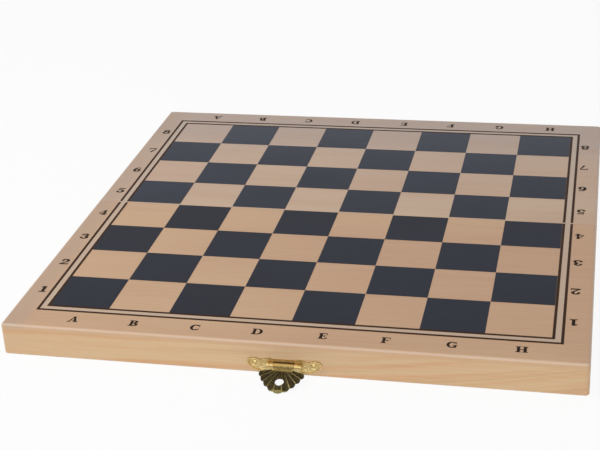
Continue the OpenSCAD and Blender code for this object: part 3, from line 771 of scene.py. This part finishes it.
def hasp_work():
    """Worn ridges between the lobes of the shell, which stop at its eye, and ribs from the lower
    front of the knuckle down the neck."""
    ridges, ridge_start, ridge_run, ridge_steps, eye_margin = [], 0.16, 0.8, 48, 0.1
    for i in range(1, SHELL_LOBES):
        angle = -SHELL_HALF_ANGLE + i * SHELL_LOBE
        line = [shell_front(angle, ridge_start + ridge_run * step / ridge_steps)
                for step in range(ridge_steps + 1)]
        clear = [p for p in line if math.hypot(p[0], p[2] + EYE_DROP) > EYE_RADIUS + eye_margin]
        above = [p for p in clear if p[2] > -EYE_DROP]
        below = [p for p in clear if p[2] <= -EYE_DROP]
        ridges += [on_hasp(clear)] if len(clear) == len(line) else [on_hasp(above), on_hasp(below)]
    # The ribs' middle lines run inside the brass, so that the wires stand out a little.
    ribs, rib_count, rib_pitch = [], 14, 0.64
    round_pin, in_front, neck_top, neck_step = 0.97, 0.27, 1.2, 0.5
    for i in range(rib_count):
        x = (i - (rib_count - 1) / 2) * rib_pitch
        over = [(x, -round_pin * math.sin(turn), round_pin * math.cos(turn))
                for turn in [math.radians(angle) for angle in (115, 125, 135)]]
        down = [(x, -in_front, -neck_top - neck_step * step) for step in range(6)]
        ribs.append(on_hasp(over + down))
    along_lines("shell_ridges", wire_tree, ridges, {"Wire radius": 0.11 * MM, "Sides": 8},
                finishes["worn"], "hasp")
    along_lines("neck_ribs", wire_tree, ribs, {"Wire radius": 0.32 * MM, "Sides": 12},
                finishes["worn"], "hasp")


# Finishes on the CAD nodes

finishes = {
    "veneer": printed_veneer(),
    "ink": printing_ink(),
    "lettering": lettering_ink(),
    "rail_x": rail_wood("rail_wood", "x"),
    "rail_y": rail_wood("side_rail_wood", "y"),
    "brass": bright_brass(),
    "turned": turned_brass(),
    "antique": antique_brass(),
    "polished": polished_brass(),
    "worn": worn_brass(),
}
wire_tree = wire_pattern()
bead_tree = bead_pattern()

dress(["near_panel", "far_panel"], finishes["veneer"])
dress(["near_print", "far_print"], finishes["ink"])
dress(["near_front_rail", "far_outer_rail", "near_hinge_rail", "far_hinge_rail"],
      finishes["rail_x"])
dress(["near_left_rail", "near_right_rail", "far_left_rail", "far_right_rail"], finishes["rail_y"])
dress(["clasp_plate", "catch_plate", "left_hinge_near_leaf", "left_hinge_far_leaf",
       "right_hinge_near_leaf", "right_hinge_far_leaf"], finishes["brass"])
dress(["left_hinge_pin", "right_hinge_pin", "near_hinge_screws", "far_hinge_screws",
       "clasp_pin", "clasp_nails", "catch_stud", "catch_nails"], finishes["turned"])
dress(["clasp_hasp"], finishes["antique"])

board_letters()
clasp_plate_work()
hasp_work()


# Floor, light and camera

WORLD_LIGHT = 0.38


def stage_floor():
    """A large level floor under the box."""
    half = 3.0
    mesh = bpy.data.meshes.new("studio_floor")
    mesh.from_pydata([(-half, -half, 0), (half, -half, 0), (half, half, 0), (-half, half, 0)],
                     [], [(0, 1, 2, 3)])
    floor = bpy.data.objects.new("studio_floor", mesh)
    scene.collection.objects.link(floor)
    mesh.materials.append(studio_floor())


def soft_lamp(name, place, size, power):
    """A square lamp that looks at the middle of the ground. Its power is in watts."""
    lamp = bpy.data.lights.new(name, "AREA")
    lamp.shape = "SQUARE"
    lamp.size = size
    lamp.energy = power
    holder = bpy.data.objects.new(name, lamp)
    scene.collection.objects.link(holder)
    holder.location = place
    holder.rotation_euler = Vector(place).to_track_quat("Z", "Y").to_euler()


def studio_world():
    """Soft light from all around, and full white wherever the world is seen."""
    world = bpy.data.worlds.new("studio_world")
    scene.world = world
    world.use_nodes = True
    sky = Graph(world.node_tree)
    soft, white = [sky.node("ShaderNodeBackground", {}, {"Color": WHITE, "Strength": strength})
                   for strength in (WORLD_LIGHT, 1.0)]
    mixed = sky.node("ShaderNodeMixShader", {}, {
        0: sky.seen_rays(), 1: soft.outputs[0], 2: white.outputs[0]})
    sky.node("ShaderNodeOutputWorld", {}, {"Surface": mixed.outputs[0]})


def photo_camera():
    """The photographer's place, turn, tilt and roll, found from the corners of the squares."""
    place = Vector((141.7, -697.9, 353.9)) * MM
    turn, tilt, roll = 13.15, 25.54, -2.83
    focal_length, sensor = 83.08, 36.0
    camera = bpy.data.cameras.new("photo_camera")
    camera.lens = focal_length
    camera.sensor_width = sensor
    camera.clip_start = 0.01
    camera.clip_end = 20.0
    holder = bpy.data.objects.new("photo_camera", camera)
    scene.collection.objects.link(holder)
    holder.matrix_world = (Matrix.Translation(place)
                           @ Matrix.Rotation(math.radians(turn), 4, "Z")
                           @ Matrix.Rotation(math.radians(90 - tilt), 4, "X")
                           @ Matrix.Rotation(math.radians(roll), 4, "Z"))
    scene.camera = holder


stage_floor()
studio_world()
soft_lamp("window_lamp", (-0.6, -0.2, 0.7), size=0.45, power=3.3)
soft_lamp("front_lamp", (0.15, -1.3, 0.45), size=0.8, power=5.9)
photo_camera()
scene.view_settings.view_transform = "Standard"
